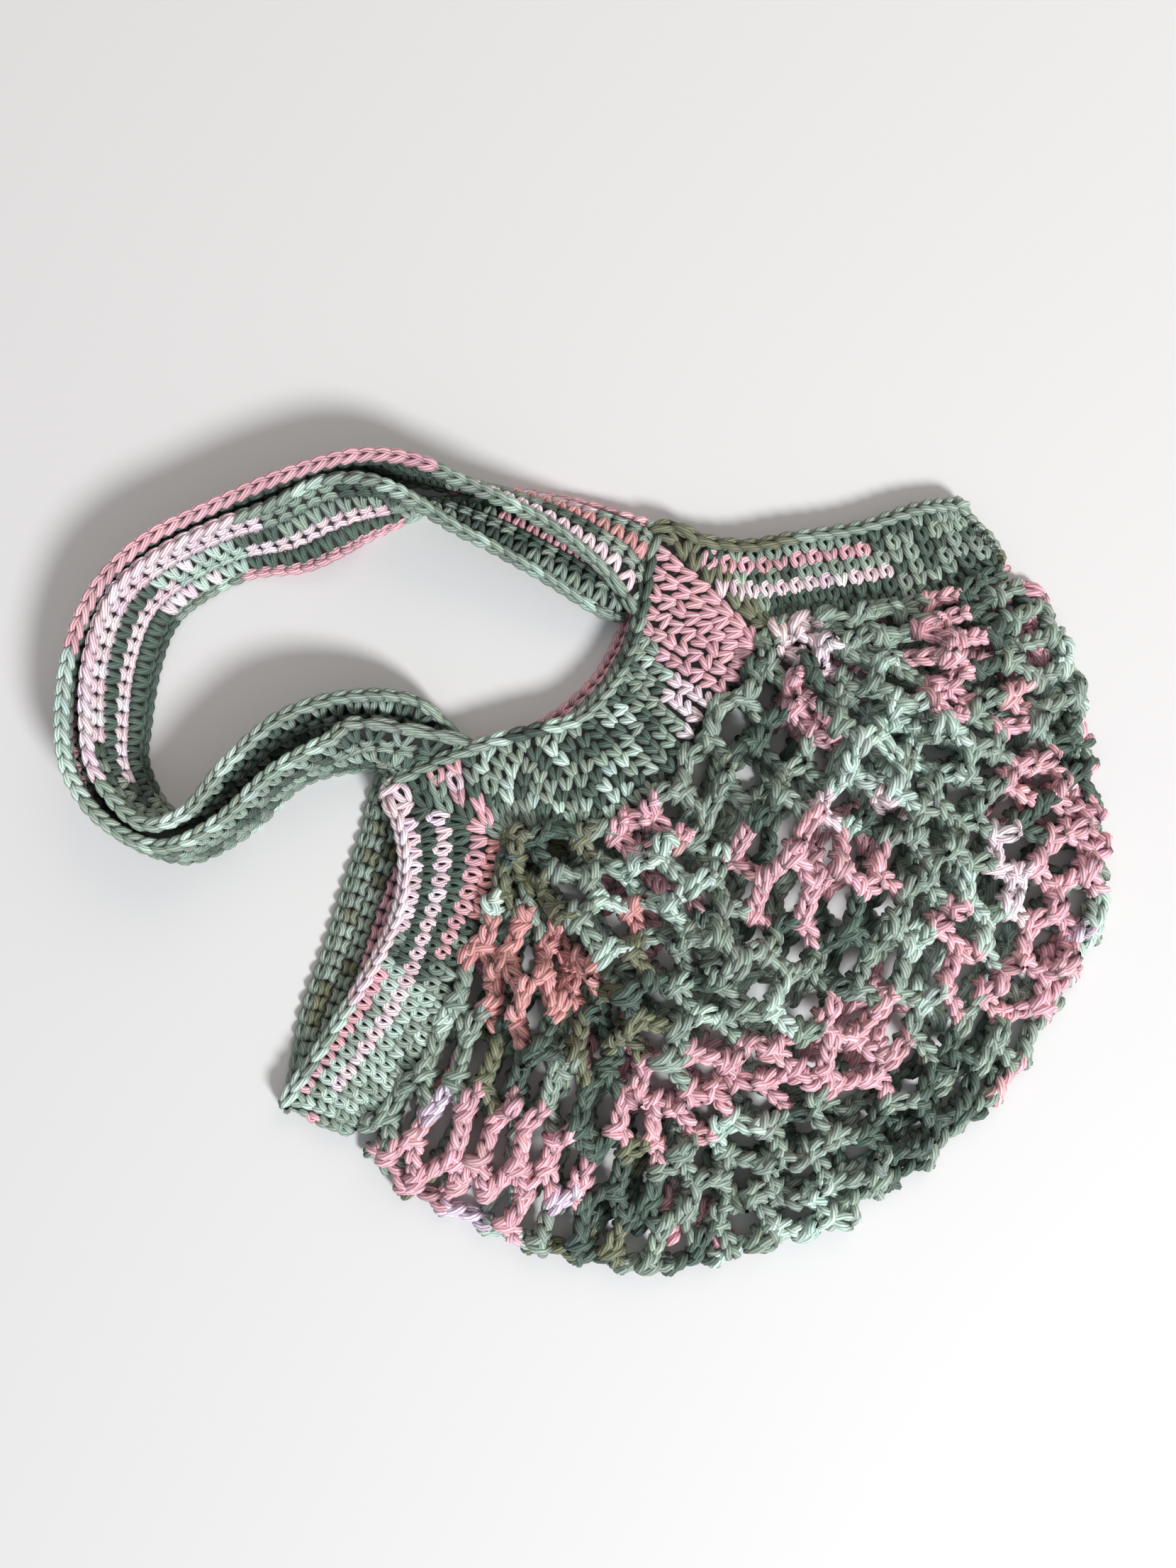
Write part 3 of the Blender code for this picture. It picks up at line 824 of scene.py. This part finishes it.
def layBand():
    material = yarnMaterial("bandYarn", bandValues)
    count, stop = evenStops(lambda q: bandPoint(q, 0.5), 0.0, float(ringCount), bandValues["stitch"])
    kinds = ("single", "plump", "chain")
    piles = {side: {kind: StitchPile(kind) for kind in kinds} for side in ("front", "back")}
    for k in range(count):
        isMiddle = bandValues["middleStart"] < stop(k) < bandValues["middleEnd"]
        rows = bandValues["middleRows"] if isMiddle else bandValues["rows"]
        for row in range(-1, rows):
            index = k + 0.5 + bandValues["lean"] * (row - rows / 2)
            t = (row + 0.5) / rows
            q, ahead = stop(index % count), stop((index + 0.5) % count)
            if ahead < q:
                ahead += ringCount
            if row == -1:
                t = 0.0
            point, nextPoint = bandPoint(q, t), bandPoint(ahead, t)
            a = unit(nextPoint - point)
            across = bandPoint(q, 1.0) - bandPoint(q, 0.0)
            b = unit(across - a * (across @ a))
            n = np.cross(b, a)
            pitch = np.linalg.norm(nextPoint - point) * 2
            side = "front" if q < frontCount or q > ringCount - 1 else "back"
            toneRow = row if row < 0 else int((row + 0.5) * bandValues["rows"] / rows)
            colour = tone(bandTone(q, toneRow), dyeValues["stitchSpread"])
            if row == -1:
                up = n * bandValues["edgeUp"] - b * bandValues["edgeOut"]
                spot = point - b * yarnValues["edgeLift"] + n * bandValues["edgeRaise"]
                piles[side]["chain"].add(spot, up, np.cross(a, up), edgeSize(bandValues, pitch), colour)
            else:
                turn = draw.normal() * bandValues["middleTurn" if isMiddle else "turn"]
                towards = b * math.cos(turn) + a * math.sin(turn)
                isPlump = isMiddle or side == "back" or draw.random() < bandValues["plumpShare"]
                size = (np.linalg.norm(across) / rows, pitch, clothThickness)
                piles[side]["plump" if isPlump else "single"].add(point, n, towards, size, colour)
    halfway = frontCount - 0.5
    for side, low, high in (("front", -0.5, halfway), ("back", halfway, ringCount - 0.5)):
        steps = np.linspace(low, high, bandValues["heartSteps"] + 1)
        heart = [[bandPoint(q, share) for share in bandValues["heartShares"]] for q in steps]
        pieceMeshes("band" + side.title(), piles[side], heart, bandValues, material, "mouth_band")


layBand()

# Straps

strapFront = [
    # edgeX, edgeY, tilt, lift
    (0.017, 0.198, 27, 0.24),
    (-0.026, 0.23, 53, 0.14),
    (-0.071, 0.254, 68, 0.06),
    (-0.117, 0.275, 84, 0.0),
    (-0.16, 0.293, 92, 0.0),
    (-0.211, 0.296, 96, 0.0),
    (-0.275, 0.278, 97, 0.0),
    (-0.339, 0.25, 97, 0.0),
    (-0.4, 0.219, 96, 0.0),
    (-0.444, 0.175, 94, 0.0),
    (-0.468, 0.116, 92, 0.0),
    (-0.475, 0.055, 88, 0.0),
    (-0.468, 0.009, 84, 0.0),
    (-0.438, -0.033, 80, 0.0),
    (-0.388, -0.057, 78, 0.0),
    (-0.336, -0.036, 80, 0.0),
    (-0.284, 0.011, 80, 0.0),
    (-0.232, 0.039, 68, 0.1),
    (-0.204, 0.053, 48, 0.2),
]
strapBack = [
    # edgeX, edgeY, tilt, lift
    (0.011, 0.166, 16, 0.0),
    (-0.038, 0.194, 34, 0.0),
    (-0.084, 0.219, 42, 0.0),
    (-0.12, 0.236, 54, 0.0),
    (-0.151, 0.253, 75, 0.0),
    (-0.179, 0.267, 105, 0.0),
    (-0.21, 0.276, 128, 0.08),
    (-0.249, 0.273, 146, 0.2),
    (-0.291, 0.252, 138, 0.1),
    (-0.338, 0.233, 120, 0.0),
    (-0.391, 0.207, 120, 0.0),
    (-0.432, 0.172, 124, 0.0),
    (-0.453, 0.114, 124, 0.0),
    (-0.454, 0.054, 116, 0.0),
    (-0.443, 0.008, 106, 0.0),
    (-0.405, -0.034, 96, 0.0),
    (-0.364, -0.026, 88, 0.0),
    (-0.325, 0.019, 80, 0.0),
    (-0.276, 0.06, 72, 0.0),
    (-0.217, 0.078, 55, 0.0),
    (-0.16, 0.074, 32, 0.0),
]

strapValues = {
    "width": 0.0285,
    "curl": 0.0015,
    "gap": 0.0006,
    "lead": 0.0030,
    "rows": 4,
    "stitch": 0.0065,
    "stagger": 0.3,
    "nearby": 0.05,
    "faceShare": 0.93,
    "edgeWidth": 0.0060,
    "edgeHeight": 0.0044,
    "heart": 0.0016,
    "heartSteps": 110,
    "heartShares": (0.04, 0.35, 0.65, 0.96),
    "yarnRadius": 0.00158,
    "roughness": 0.55,
    "bump": 0.55,
    "toneStart": 1.5,
    "toneJitter": 0.10,
    "paleInMint": 0.3,
    "edgeSage": 0.8,
}

# Stretches of each strap that are not plain green, counted in rows of its table.
# Row -1 is the chain edge and row 4 the other edge.
strapStretches = {
    "front": [
        # firstRow, lastRow, start, end, tone
        (-1, -1, 4.0, 10.4, "pink"),
        (4, 4, 0.0, 3.6, "pink"),
        (0, 0, 0.0, 3.4, "pale"),
        (2, 2, 0.0, 2.8, "salmon"),
        (3, 3, 1.0, 3.0, "pale"),
        (-1, -1, 10.4, 13.0, "mint"),
        (1, 1, 10.2, 13.4, "pink"),
        (0, 3, 4.0, 10.0, "dark"),
    ],
    "back": [
        (-1, -1, 9.2, 14.6, "pale"),
        (0, 0, 9.0, 14.0, "pale"),
        (4, 4, 5.4, 9.6, "pink"),
        (2, 2, 5.6, 9.4, "pale"),
        (3, 3, 5.6, 9.4, "dark"),
        (0, 3, 9.4, 11.2, "mint"),
        (1, 1, 11.2, 14.6, "dark"),
        (2, 2, 11.2, 14.6, "pale"),
        (3, 4, 11.2, 15.0, "dark"),
        (2, 2, 0.0, 3.0, "pink"),
    ],
}


def strapTone(layer, v, row):
    v += strapValues["toneJitter"] * draw.normal()
    for first, last, low, high, name in strapStretches[layer]:
        if first <= row <= last and low <= v <= high:
            isFace = 0 <= row < strapValues["rows"]
            if name == "mint" and isFace and draw.random() < strapValues["paleInMint"]:
                return "pale"
            return name
    if row in (-1, strapValues["rows"]):
        return "sage" if draw.random() < strapValues["edgeSage"] else "mint"
    return calmGreen(v, row)


def strapSections(layer, table):
    edge = [np.array((x * bagLength, y * bagLength, 0.0)) for x, y, _, _ in table]
    mouth, net = layerMouth[layer], layerNet[layer]
    shares = [i / 4 for i in range(5)]

    def joinSection(row):
        stops = [along(mouth, row + 1 - i / 2) for i in range(3)]
        side = unit(mouth[row + 1] - mouth[row])
        out = mouth[row] + mouth[row + 1] - net[row] - net[row + 1]
        out = unit(out - side * (out @ side))
        points = []
        for share in shares:
            i = min(int(share * 2), 1)
            spot = stops[i] + (stops[i + 1] - stops[i]) * (share * 2 - i)
            points.append(spot + out * strapValues["gap"])
        return points

    def leadSection(row, section):
        slope = unit(mouth[row] + mouth[row + 1] - net[row] - net[row + 1])
        side = unit(section[-1] - section[0])
        slope = unit(slope - side * (slope @ side))
        return [point + slope * strapValues["lead"] for point in section]

    right, left = joinRows[layer]["right"], joinRows[layer]["left"]
    sections = [joinSection(right)[::-1]]
    for i, (_, _, tilt, lift) in enumerate(table):
        ahead = along(edge, i + 0.25) - along(edge, i - 0.25)
        if i == 0:
            ahead = edge[1] - edge[0]
        elif i == len(edge) - 1:
            ahead = edge[-1] - edge[-2]
        inward = unit(np.array((-ahead[1], ahead[0], 0.0)))
        angle = math.radians(tilt)
        rise = inward * math.cos(angle) + np.array((0.0, 0.0, math.sin(angle)))
        face = np.cross(unit(ahead), rise)
        low = floorGap + abs(math.cos(angle)) * clothThickness / 2 + lift * pileHeight
        width, curl = strapValues["width"], strapValues["curl"]
        top = edge[i] + np.array((0.0, 0.0, low + width * math.sin(angle))) - boxShift
        curls = [face * (curl * math.sin(math.pi * share)) for share in shares]
        sections.append([top - rise * (width * share) + bend for share, bend in zip(shares, curls)])
    sections.append(joinSection(left))
    sections.insert(1, leadSection(right, sections[0]))
    sections.insert(-1, leadSection(left, sections[-1]))
    return [np.array(line) for line in zip(*sections)]


def layStrap(layer, table):
    material = yarnMaterial("strap" + layer.title() + "Yarn", strapValues)
    lines = strapSections(layer, table)
    last = len(lines[0]) - 1.0

    def strapPoint(v, share):
        spot = min(max(share, 0.0), 1.0) * (len(lines) - 1)
        i = min(int(spot), len(lines) - 2)
        low, high = along(lines[i], v), along(lines[i + 1], v)
        return low + (high - low) * (spot - i)

    count, stop = evenStops(lambda v: strapPoint(v, 0.5), 0.0, last, strapValues["stitch"])
    rows = strapValues["rows"]
    piles = {kind: StitchPile(kind) for kind in ("plump", "chain")}
    for k in range(count):
        for row in range(-1, rows + 1):
            v = stop(k + 0.5 + strapValues["stagger"] * (row % 2))
            share = min(max((row + 0.5) / rows, 0.0), 1.0)
            ahead = min(v + strapValues["nearby"], last)
            behind = max(v - strapValues["nearby"], 0.0)
            point = strapPoint(v, share)
            a = unit(strapPoint(ahead, share) - strapPoint(behind, share))
            across = strapPoint(v, 1.0) - strapPoint(v, 0.0)
            b = unit(across - a * (across @ a))
            n = np.cross(b, a)
            pitch = np.linalg.norm(strapPoint(stop(k + 1), share) - strapPoint(stop(k), share))
            colour = tone(strapTone(layer, v - strapValues["toneStart"], row), dyeValues["stitchSpread"])
            if row in (-1, rows):
                out = -b if row == -1 else b
                point = point + out * yarnValues["edgeLift"]
                piles["chain"].add(point, out, np.cross(a, out), edgeSize(strapValues, pitch), colour)
            else:
                flip = 1.0 if row % 2 == 0 else -1.0
                inner = strapPoint(v, 0.5)
                point = inner + (point - inner) * strapValues["faceShare"]
                size = (strapValues["width"] / rows, pitch, clothThickness)
                piles["plump"].add(point, n * flip, b, size, colour)
    steps = np.linspace(0.0, last, strapValues["heartSteps"] + 1)
    heart = [[strapPoint(v, share) for share in strapValues["heartShares"]] for v in steps]
    pieceMeshes("strap" + layer.title(), piles, heart, strapValues, material, "strap_" + layer)


layStrap("front", strapFront)
layStrap("back", strapBack)

# Net

outlineRows = [
    # x, y
    (-0.222, -0.328),
    (-0.172, -0.388),
    (-0.104, -0.423),
    (-0.027, -0.45),
    (0.041, -0.461),
    (0.105, -0.46),
    (0.156, -0.448),
    (0.203, -0.433),
    (0.25, -0.409),
    (0.299, -0.381),
    (0.348, -0.34),
    (0.395, -0.298),
    (0.429, -0.24),
    (0.456, -0.199),
    (0.48, -0.155),
    (0.493, -0.09),
    (0.487, -0.03),
    (0.48, 0.031),
    (0.463, 0.095),
    (0.435, 0.167),
    (0.392, 0.208),
]

gathers = [
    # start, drift, halfWidth, height, reach
    (0.115, 0.0, 0.05, 0.3, 0.8),
    (0.215, 0.01, 0.052, 0.52, 0.75),
    (0.33, 0.02, 0.055, 0.66, 0.72),
    (0.445, 0.01, 0.056, 0.72, 0.8),
    (0.56, 0.0, 0.056, 0.74, 0.78),
    (0.67, -0.01, 0.054, 0.66, 0.75),
    (0.775, -0.01, 0.05, 0.58, 0.78),
    (0.875, 0.0, 0.048, 0.4, 0.8),
]

netValues = {
    "columns": {"front": 21, "back": 18},
    "rows": 12,
    "rowStep": 0.0180,
    "firstRow": 0.0050,
    "zigzag": 0.0045,
    "armLength": 0.0145,
    "chain": 0.0066,
    "width": 0.0074,
    "yarnRadius": 0.00192,
    "roughness": 0.52,
    "bump": 0.6,
    "knot": 0.0098,
    "knotHeight": 0.0070,
    "knotRaise": 0.0010,
    "knotSpread": 0.06,
    "knotTurn": 0.3,
    "wander": 0.0016,
    "firstWander": 0.4,
    "roundLength": 0.42,
    "sideMargin": 0.008,
    "topMargin": 0.0012,
    "endMargin": 0.001,
    "lastGap": 0.004,
    "lift": 0.0022,
    "lengthSpread": 0.15,
    "bowLeast": 0.0004,
    "bowMost": 0.0075,
    "bowTurn": 0.5,
    "armRoll": 0.7,
    "chainRoll": 0.25,
    "nearby": 0.05,
    "postBow": 0.0012,
    "postRaise": 0.0006,
    "postRoll": 0.5,
    "startRaise": 0.0008,
    "rim": 0.25,
    "rimStart": 0.45,
    "rimFold": {"front": 0.006, "back": 0.008},
    "valley": 0.42,
    "dome": 0.20,
    "domeReach": 0.3,
    "head": 0.0085,
    "headFade": 0.06,
    "gatherFade": 0.07,
    "gatherStart": 0.25,
    "backHeight": 0.0030,
    "patchWander": 0.12,
    "patchShare": 0.9,
    "backWander": 0.5,
    "backPinkAbove": 0.9,
}

edgeValues = {
    "step": 0.0200,
    "ends": 0.35,
    "inset": 0.0035,
    "height": 0.0055,
    "wander": 0.0012,
    "bow": 0.0015,
    "tilt": 0.8,
    "knot": (0.0075, 0.0075, 0.0062),
}

# Pink stretches of the front layer in plan.
pinkPatches = [
    # x, y, halfX, halfY, tone
    (0.316, 0.115, 0.036, 0.056, "pink"),
    (0.396, 0.038, 0.02, 0.055, "pink"),
    (0.236, -0.02, 0.031, 0.017, "pale"),
    (0.189, -0.081, 0.073, 0.051, "pink"),
    (0.447, -0.074, 0.038, 0.072, "pink"),
    (0.382, -0.078, 0.02, 0.048, "pale"),
    (0.048, -0.037, 0.048, 0.027, "pink"),
    (0.028, -0.119, 0.02, 0.034, "salmon"),
    (-0.058, -0.173, 0.058, 0.048, "salmon"),
    (-0.105, -0.351, 0.085, 0.068, "pink"),
    (0.062, -0.296, 0.06, 0.045, "pink"),
    (0.15, -0.256, 0.062, 0.04, "pink"),
    (0.33, -0.15, 0.03, 0.045, "pink"),
    (0.242, -0.241, 0.038, 0.048, "pink"),
    (0.41, -0.18, 0.055, 0.048, "pink"),
    (0.202, 0.127, 0.024, 0.027, "pale"),
    (0.188, 0.062, 0.031, 0.024, "pink"),
    (0.399, -0.276, 0.024, 0.024, "pink"),
]

outline = np.array([place(x, y, netValues["rim"]) for x, y in outlineRows])


def netLine(layer, u):
    rows = layerNet[layer]
    start = along(rows, u * (len(rows) - 1))
    return start, along(outline, u * (len(outline) - 1))


def netPoint(layer, u, down):
    # a point of the layer's middle surface, down the net from the band
    u = min(max(u, 0.0), 1.0)
    start, end = netLine(layer, u)
    flat = (end - start)[:2]
    reach = max(np.linalg.norm(flat), 1e-6)
    down = min(down, reach)
    t = down / reach
    spot = start[:2] + flat * t
    fold = netValues["rimFold"][layer]
    rim = smooth((down - reach + fold) / fold)
    if layer == "back":
        height = netValues["backHeight"] * (1 - rim) + netValues["rim"] * pileHeight * 0.5 * rim
        return np.array((spot[0], spot[1], height))
    stop = u * (frontCount - 1)
    a, b = along(layerMouth["front"], stop), along(layerNet["front"], stop)
    slope = (b - a)[2] / np.linalg.norm((b - a)[:2])
    head = netValues["head"]
    top = (start[2] + boxShift[2] + slope * min(down, head)) / pileHeight
    late = (t - netValues["rimStart"]) / (1.0 - netValues["rimStart"])
    level = netValues["valley"] + (netValues["rim"] - netValues["valley"]) * smooth(late)
    level = top + (level - top) * smooth((down - head) / (netValues["headFade"] * bagLength))
    dome = netValues["dome"] * math.sin(math.pi * t) ** 2
    level += dome * smooth(reach / (netValues["domeReach"] * bagLength))
    rise = smooth((down - head) / (netValues["gatherFade"] * bagLength))
    begin = netValues["gatherStart"]
    for first, drift, halfWidth, height, length in gathers:
        side = (u - first - drift * t) / halfWidth
        if abs(side) < 1.0:
            fade = 1.0 - smooth((t - begin) / (length - begin))
            level += height * (rise * fade) * math.cos(side * math.pi / 2) ** 2
    level -= 0.5 * netValues["rim"] * rim
    return np.array((spot[0], spot[1], level * pileHeight - boxShift[2]))


def netTone(layer, point):
    x, y = (point[0] + boxShift[0]) / bagLength, (point[1] + boxShift[1]) / bagLength
    if layer == "front":
        for patchX, patchY, halfX, halfY, name in pinkPatches:
            far = math.hypot((x - patchX) / halfX, (y - patchY) / halfY)
            if far < 1.0 + netValues["patchWander"] * draw.normal():
                isName = draw.random() < netValues["patchShare"]
                return name if isName else ("pale", "pink", "lilac")[draw.integers(3)]
    elif waveSum("back", x, y) + netValues["backWander"] * draw.normal() > netValues["backPinkAbove"]:
        return "pink"
    return greenField(point)


slopeShare, slopeStep = 0.004, 0.001


def netNormal(layer, u, down):
    a = netPoint(layer, u + slopeShare, down) - netPoint(layer, u - slopeShare, down)
    b = netPoint(layer, u, down + slopeStep) - netPoint(layer, u, max(down - slopeStep, 0.0))
    n = np.cross(b, a)
    return unit(n if n[2] > 0 else -n)


def layArm(pile, start, end, bow, up, name, roll):
    # a run of chain stitches from one knot to the next
    middle = (start + end) / 2 + bow
    knots = np.array([start, middle, end])
    length = np.linalg.norm(middle - start) + np.linalg.norm(end - middle)
    count = max(int(round(length / netValues["chain"])), 1)
    for k in range(count):
        t = (k + 0.5) / count * 2
        point = along(knots, t)
        a = unit(along(knots, t + netValues["nearby"]) - along(knots, t - netValues["nearby"]))
        side = unit(np.cross(a, up))
        out = np.cross(side, a)
        angle = roll + netValues["chainRoll"] * k
        out = out * math.cos(angle) + side * math.sin(angle)
        side = np.cross(a, out)
        width = netValues["width"]
        size = (width, length / count, width)
        pile.add(point, out, side, size, tone(name, dyeValues["stitchSpread"]))


def bowOf(layer, start, end, up):
    # a chain longer than its span bows up out of the net, or sideways where it lies on the floor
    span = np.linalg.norm(end - start)
    full = netValues["armLength"] * (1.0 + netValues["lengthSpread"] * draw.normal())
    spare = max(full - span, 0.0)
    height = min(math.sqrt(3 / 8 * span * spare), netValues["bowMost"]) + netValues["bowLeast"]
    side = np.cross(unit(end - start), up)
    angle = draw.normal() * netValues["bowTurn"]
    if layer == "back":
        angle = math.pi / 2 * (1 if draw.random() < 0.5 else -1)
    return (up * math.cos(angle) + side * math.sin(angle)) * height


def layRim(halves):
    # the chain round the fold where the two layers of the net meet
    first, last = edgeValues["ends"], len(outline) - 1 - edgeValues["ends"]
    count, stop = evenStops(lambda s: along(outline, s), first, last, edgeValues["step"])
    marks = []
    for k in range(count + 1):
        s = stop(k)
        side = unit(along(outline, s + netValues["nearby"]) - along(outline, s - netValues["nearby"]))
        out = np.array((side[1], -side[0], 0.0))
        spot = along(outline, s) - out * edgeValues["inset"]
        spot[2] = edgeValues["height"]
        marks.append(spot + out * draw.normal() * edgeValues["wander"])
    for k, (start, end) in enumerate(zip(marks, marks[1:])):
        piles = halves[0] if k < count / 2 else halves[1]
        side = unit(end - start)
        out = np.array((side[1], -side[0], 0.0))
        name = netTone("front", (start + end) / 2)
        up = unit(out + np.array((0.0, 0.0, edgeValues["tilt"])))
        layArm(piles["chain"], start, end, out * -edgeValues["bow"], up, name, 0.0)
        piles["knot"].add(start, np.array((0.0, 0.0, 1.0)), side, edgeValues["knot"], tone(name))


def layNet(layer):
    material = yarnMaterial("net" + layer.title() + "Yarn", netValues)
    halves = [{kind: StitchPile(kind) for kind in ("chain", "knot", "hook")} for _ in range(2)]
    joints = 2 * netValues["columns"][layer]
    spots = {}
    for row in range(netValues["rows"]):
        for joint in range(joints + 1):
            isKnot = (joint + row) % 2 == 0
            wander = netValues["wander"] if row else netValues["wander"] * netValues["firstWander"]
            margin = netValues["sideMargin"]
            u = joint / joints + draw.normal() * wander / netValues["roundLength"]
            u = min(max(u, margin), 1.0 - margin)
            down = netValues["firstRow"] + row * netValues["rowStep"] + draw.normal() * wander
            down += netValues["zigzag"] * (0.5 if isKnot else -0.5)
            start, end = netLine(layer, u)
            reach = np.linalg.norm((end - start)[:2])
            past = down > reach - netValues["lastGap"]
            deep = min(max(down, netValues["topMargin"]), reach - netValues["endMargin"])
            point = netPoint(layer, u, deep)
            if layer == "front" and row:
                point[2] += (abs(draw.normal()) - 0.5) * netValues["lift"]
            spots[row, joint] = (point, u, min(down, reach), past, isKnot)
    for (row, joint), (point, u, down, past, isKnot) in spots.items():
        if past:
            continue
        piles = halves[0] if u < 0.5 else halves[1]
        up = netNormal(layer, u, down)
        behind = netPoint(layer, u, max(down - 2 * slopeStep, 0.0))
        ahead = unit(netPoint(layer, u, down + 2 * slopeStep) - behind)
        turn = draw.normal() * netValues["knotTurn"]
        side = np.cross(ahead, up)
        side = side * math.cos(turn) + ahead * math.sin(turn)
        name = netTone(layer, point)
        size = netValues["knot"] * (1.0 + netValues["knotSpread"] * draw.normal())
        kind = "knot" if isKnot else "hook"
        spot = point + up * netValues["knotRaise"]
        piles[kind].add(spot, up, side, (size, size, netValues["knotHeight"]), tone(name))
        beside = spots.get((row, joint + 1))
        if beside:
            bow = bowOf(layer, point, beside[0], up)
            roll = draw.normal() * netValues["armRoll"]
            layArm(piles["chain"], point, beside[0], bow, up, name, roll)
        below = spots.get((row + 1, joint))
        if isKnot and below:
            bow = side * draw.normal() * netValues["postBow"] + up * netValues["postRaise"]
            roll = draw.normal() * netValues["postRoll"]
            layArm(piles["chain"], point, below[0], bow, up, name, roll)
        if row == 0 and not isKnot:
            start = netPoint(layer, u, 0.0)
            layArm(piles["chain"], start, point, up * netValues["startRaise"], up, name, 0.0)
    if layer == "front":
        layRim(halves)
    for piles, half in zip(halves, ("Left", "Right")):
        pieceMeshes("net" + layer.title() + half, piles, None, netValues, material, "net_body")


layNet("front")
layNet("back")

# Close: remove the strand templates

for holder in strandObjects.values():
    bpy.data.objects.remove(holder)
